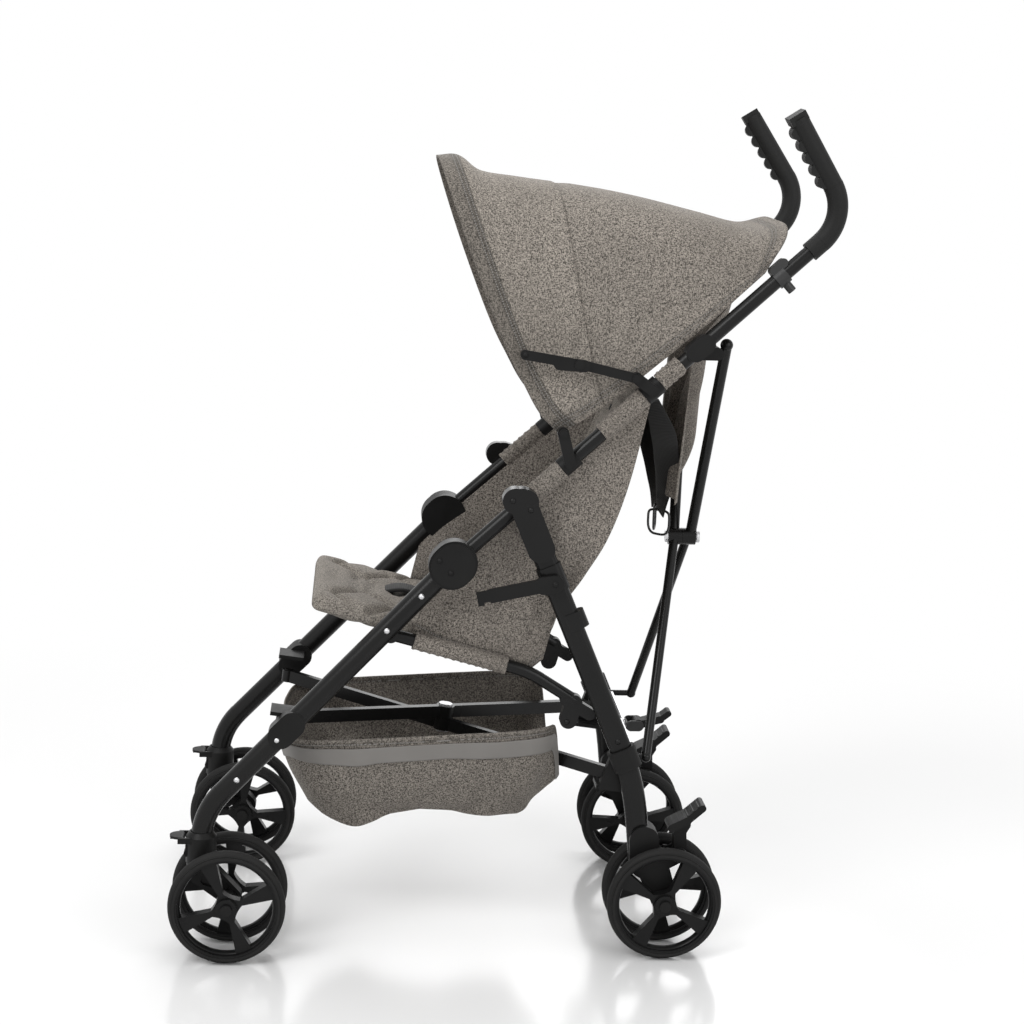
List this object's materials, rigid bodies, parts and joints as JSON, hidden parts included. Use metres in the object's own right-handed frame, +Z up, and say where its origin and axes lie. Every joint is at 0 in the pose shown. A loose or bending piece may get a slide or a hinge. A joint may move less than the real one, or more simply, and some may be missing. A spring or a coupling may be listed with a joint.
{
  "type": "umbrella stroller",
  "caption": "Folding umbrella stroller with paired swivelling front wheels, crossed folding braces, hood, padded seat, basket and two curved grips.",
  "frame": {"origin": "on the floor, under the middle of the stroller's box", "axes": "+X to the child's left, -Y forwards, +Z up"},
  "size_m": [0.478, 0.8134, 1.0613],
  "materials": {
    "frame_black": "satin black paint",
    "plastic_black": "matt black moulded plastic",
    "wheel_black": "matt black moulded wheel with foam tyre",
    "grip_rubber": "soft black foam grip",
    "steel": "zinc-plated steel",
    "pad_cloth": "quilted grey melange cloth",
    "shell_cloth": "grey melange cloth",
    "webbing": "black woven webbing"
  },
  "bodies": {
    "chassis": {"seat_bolt": "steel", "seat_pad": "pad_cloth", "seat_sling": "shell_cloth", "harness": "webbing", "canopy_rear": "shell_cloth", "basket": "shell_cloth"},
    "side_left": {"front_leg_left": "frame_black", "elbow_cover_left": "plastic_black", "handle_tube_left": "frame_black", "grip_left": "grip_rubber", "seat_rail_left": "frame_black", "frame_brackets_left": "plastic_black", "frame_rivets_left": "steel", "caster_housing_left": "plastic_black"},
    "rear_leg_left": {"rear_leg_left": "frame_black", "leg_bracket_left": "plastic_black", "rear_hub_left": "plastic_black"},
    "caster_fork_left": {"caster_fork_left": "plastic_black"},
    "front_wheel_outer_left": {"front_wheel_outer_left": "wheel_black"},
    "front_wheel_inner_left": {"front_wheel_inner_left": "wheel_black"},
    "rear_wheel_outer_left": {"rear_wheel_outer_left": "wheel_black"},
    "rear_wheel_inner_left": {"rear_wheel_inner_left": "wheel_black"},
    "swivel_lock_left": {"swivel_lock_left": "plastic_black"},
    "brake_pedal_left": {"brake_pedal_left": "plastic_black"},
    "fold_hook_left": {"fold_hook_left": "plastic_black"},
    "under_bar_left": {"under_bar_left": "frame_black"},
    "rear_cross_left": {"rear_cross_left": "frame_black"},
    "brace_link_left": {"brace_link_left": "steel"},
    "strut_front_left": {"strut_front_left": "plastic_black"},
    "strut_rear_left": {"strut_rear_left": "plastic_black"},
    "side_right": {"front_leg_right": "frame_black", "elbow_cover_right": "plastic_black", "handle_tube_right": "frame_black", "grip_right": "grip_rubber", "seat_rail_right": "frame_black", "frame_brackets_right": "plastic_black", "frame_rivets_right": "steel", "caster_housing_right": "plastic_black"},
    "rear_leg_right": {"rear_leg_right": "frame_black", "leg_bracket_right": "plastic_black", "rear_hub_right": "plastic_black"},
    "caster_fork_right": {"caster_fork_right": "plastic_black"},
    "front_wheel_outer_right": {"front_wheel_outer_right": "wheel_black"},
    "front_wheel_inner_right": {"front_wheel_inner_right": "wheel_black"},
    "rear_wheel_outer_right": {"rear_wheel_outer_right": "wheel_black"},
    "rear_wheel_inner_right": {"rear_wheel_inner_right": "wheel_black"},
    "swivel_lock_right": {"swivel_lock_right": "plastic_black"},
    "brake_pedal_right": {"brake_pedal_right": "plastic_black"},
    "fold_hook_right": {"fold_hook_right": "plastic_black"},
    "under_bar_right": {"under_bar_right": "frame_black"},
    "rear_cross_right": {"rear_cross_right": "frame_black"},
    "brace_link_right": {"brace_link_right": "steel"},
    "strut_front_right": {"strut_front_right": "plastic_black"},
    "strut_rear_right": {"strut_rear_right": "plastic_black"},
    "cross_middle": {"cross_bolt": "steel"},
    "brace_middle": {"brace_bolt": "steel"},
    "foot_lever": {"foot_lever": "plastic_black"},
    "hood_front": {"canopy_front": "shell_cloth"},
    "backrest": {"backrest": "pad_cloth", "recline_straps": "webbing"}
  },
  "joints": [
    {"name": "width_fold", "type": "slide", "parent": "chassis", "child": "side_left", "axis": [-1, 0, 0], "range_m": [0, 0.09], "deforming": ["seat_pad", "seat_sling", "backrest", "harness", "recline_straps", "canopy_front", "canopy_rear", "basket"]},
    {"name": "width_fold_right", "type": "slide", "parent": "chassis", "child": "side_right", "axis": [1, 0, 0], "range_m": [0, 0.09]},
    {"name": "rear_leg_fold_left", "type": "hinge", "parent": "side_left", "child": "rear_leg_left", "pos_m": [0.183, 0.016, 0.577], "axis": [1, 0, 0], "range_deg": [-16.1, 0]},
    {"name": "under_bar_turn_left", "type": "hinge", "parent": "chassis", "child": "under_bar_left", "pos_m": [0, -0.066, 0.256], "axis": [0, 0.1253, 0.9921], "range_deg": [-22.3, 0]},
    {"name": "rear_cross_turn_left", "type": "hinge", "parent": "cross_middle", "child": "rear_cross_left", "pos_m": [0, 0.24, 0.505], "axis": [0, 1, 0], "range_deg": [-18.6, 0]},
    {"name": "brace_turn_left", "type": "hinge", "parent": "brace_middle", "child": "brace_link_left", "pos_m": [0, 0.168, 0.25], "axis": [0, 1, 0], "range_deg": [-69.7, 0]},
    {"name": "caster_swivel_left", "type": "hinge", "parent": "side_left", "child": "caster_fork_left", "pos_m": [0.186, -0.371, 0.106], "axis": [0, 0, 1], "continuous": true},
    {"name": "front_wheel_outer_spin_left", "type": "hinge", "parent": "caster_fork_left", "child": "front_wheel_outer_left", "pos_m": [0.223, -0.337, 0.0725], "axis": [1, 0, 0], "continuous": true},
    {"name": "front_wheel_inner_spin_left", "type": "hinge", "parent": "caster_fork_left", "child": "front_wheel_inner_left", "pos_m": [0.149, -0.337, 0.0725], "axis": [1, 0, 0], "continuous": true},
    {"name": "rear_wheel_outer_spin_left", "type": "hinge", "parent": "rear_leg_left", "child": "rear_wheel_outer_left", "pos_m": [0.2, 0.209, 0.0725], "axis": [1, 0, 0], "continuous": true},
    {"name": "rear_wheel_inner_spin_left", "type": "hinge", "parent": "rear_leg_left", "child": "rear_wheel_inner_left", "pos_m": [0.138, 0.209, 0.0725], "axis": [1, 0, 0], "continuous": true},
    {"name": "swivel_lock_turn_left", "type": "hinge", "parent": "side_left", "child": "swivel_lock_left", "pos_m": [0.186, -0.395, 0.149], "axis": [1, 0, 0], "range_deg": [-25, 0]},
    {"name": "brake_left", "type": "hinge", "parent": "rear_leg_left", "child": "brake_pedal_left", "pos_m": [0.169, 0.229, 0.13], "axis": [1, 0, 0], "range_deg": [-20, 0]},
    {"name": "fold_hook_turn_left", "type": "hinge", "parent": "rear_leg_left", "child": "fold_hook_left", "pos_m": [0.1869, 0.05776, 0.47957], "axis": [1, 0, 0], "range_deg": [-40, 10]},
    {"name": "rear_leg_fold_right", "type": "hinge", "parent": "side_right", "child": "rear_leg_right", "pos_m": [-0.183, 0.016, 0.577], "axis": [1, 0, 0], "range_deg": [-16.1, 0]},
    {"name": "under_bar_turn_right", "type": "hinge", "parent": "chassis", "child": "under_bar_right", "pos_m": [0, -0.066, 0.256], "axis": [0, 0.1253, 0.9921], "range_deg": [0, 22.3]},
    {"name": "rear_cross_turn_right", "type": "hinge", "parent": "cross_middle", "child": "rear_cross_right", "pos_m": [0, 0.24, 0.505], "axis": [0, 1, 0], "range_deg": [0, 18.6]},
    {"name": "brace_turn_right", "type": "hinge", "parent": "brace_middle", "child": "brace_link_right", "pos_m": [0, 0.168, 0.25], "axis": [0, 1, 0], "range_deg": [0, 69.7]},
    {"name": "caster_swivel_right", "type": "hinge", "parent": "side_right", "child": "caster_fork_right", "pos_m": [-0.186, -0.371, 0.106], "axis": [0, 0, 1], "continuous": true},
    {"name": "front_wheel_outer_spin_right", "type": "hinge", "parent": "caster_fork_right", "child": "front_wheel_outer_right", "pos_m": [-0.223, -0.337, 0.0725], "axis": [1, 0, 0], "continuous": true},
    {"name": "front_wheel_inner_spin_right", "type": "hinge", "parent": "caster_fork_right", "child": "front_wheel_inner_right", "pos_m": [-0.149, -0.337, 0.0725], "axis": [1, 0, 0], "continuous": true},
    {"name": "rear_wheel_outer_spin_right", "type": "hinge", "parent": "rear_leg_right", "child": "rear_wheel_outer_right", "pos_m": [-0.2, 0.209, 0.0725], "axis": [1, 0, 0], "continuous": true},
    {"name": "rear_wheel_inner_spin_right", "type": "hinge", "parent": "rear_leg_right", "child": "rear_wheel_inner_right", "pos_m": [-0.138, 0.209, 0.0725], "axis": [1, 0, 0], "continuous": true},
    {"name": "swivel_lock_turn_right", "type": "hinge", "parent": "side_right", "child": "swivel_lock_right", "pos_m": [-0.186, -0.395, 0.149], "axis": [1, 0, 0], "range_deg": [-25, 0]},
    {"name": "brake_right", "type": "hinge", "parent": "rear_leg_right", "child": "brake_pedal_right", "pos_m": [-0.169, 0.229, 0.13], "axis": [1, 0, 0], "range_deg": [-20, 0]},
    {"name": "fold_hook_turn_right", "type": "hinge", "parent": "rear_leg_right", "child": "fold_hook_right", "pos_m": [-0.1869, 0.05776, 0.47957], "axis": [1, 0, 0], "range_deg": [-40, 10]},
    {"name": "cross_middle_swing", "type": "hinge", "parent": "chassis", "child": "cross_middle", "pos_m": [0, 0.138, 0.757], "axis": [1, 0, 0], "range_deg": [-10.5, 0]},
    {"name": "brace_middle_swing", "type": "hinge", "parent": "chassis", "child": "brace_middle", "pos_m": [0, 0.016, 0.577], "axis": [1, 0, 0], "range_deg": [-16.1, 0]},
    {"name": "foot_lever_turn", "type": "hinge", "parent": "brace_middle", "child": "foot_lever", "pos_m": [0, 0.192, 0.25], "axis": [1, 0, 0], "range_deg": [0, 30]},
    {"name": "hood_fold", "type": "hinge", "parent": "chassis", "child": "hood_front", "pos_m": [0, 0.063, 0.664], "axis": [1, 0, 0], "range_deg": [-40, 0]},
    {"name": "strut_rear_turn_left", "type": "hinge", "parent": "side_left", "child": "strut_rear_left", "pos_m": [0.1805, 0.15, 0.733], "axis": [1, 0, 0], "range_deg": [-71, 0]},
    {"name": "strut_front_turn_left", "type": "hinge", "parent": "strut_rear_left", "child": "strut_front_left", "pos_m": [0.1835, 0.079, 0.749], "axis": [1, 0, 0], "range_deg": [0, 112.5]},
    {"name": "strut_rear_turn_right", "type": "hinge", "parent": "side_right", "child": "strut_rear_right", "pos_m": [-0.1805, 0.15, 0.733], "axis": [1, 0, 0], "range_deg": [-71, 0]},
    {"name": "strut_front_turn_right", "type": "hinge", "parent": "strut_rear_right", "child": "strut_front_right", "pos_m": [-0.1835, 0.079, 0.749], "axis": [1, 0, 0], "range_deg": [0, 112.5]},
    {"name": "backrest_recline", "type": "hinge", "parent": "chassis", "child": "backrest", "pos_m": [0, 0.044, 0.384], "axis": [1, 0, 0], "range_deg": [-8, 0]}
  ],
  "couplings": [
    {"joint": "width_fold_right", "follows": "width_fold", "ratio": 1},
    {"joint": "rear_leg_fold_left", "follows": "width_fold", "rad_per_m": -3.1028},
    {"joint": "under_bar_turn_left", "follows": "width_fold", "rad_per_m": -4.305},
    {"joint": "rear_cross_turn_left", "follows": "width_fold", "rad_per_m": -3.5876},
    {"joint": "brace_turn_left", "follows": "width_fold", "rad_per_m": -13.497},
    {"joint": "rear_leg_fold_right", "follows": "width_fold", "rad_per_m": -3.1028},
    {"joint": "under_bar_turn_right", "follows": "width_fold", "rad_per_m": 4.305},
    {"joint": "rear_cross_turn_right", "follows": "width_fold", "rad_per_m": 3.5876},
    {"joint": "brace_turn_right", "follows": "width_fold", "rad_per_m": 13.497},
    {"joint": "brake_right", "follows": "brake_left", "ratio": 1},
    {"joint": "cross_middle_swing", "follows": "width_fold", "rad_per_m": -2.0168},
    {"joint": "brace_middle_swing", "follows": "width_fold", "rad_per_m": -3.1028},
    {"joint": "strut_rear_turn_left", "follows": "hood_fold", "ratio": 1.77},
    {"joint": "strut_front_turn_left", "follows": "hood_fold", "ratio": -2.81},
    {"joint": "strut_rear_turn_right", "follows": "hood_fold", "ratio": 1.77},
    {"joint": "strut_front_turn_right", "follows": "hood_fold", "ratio": -2.81}
  ]
}
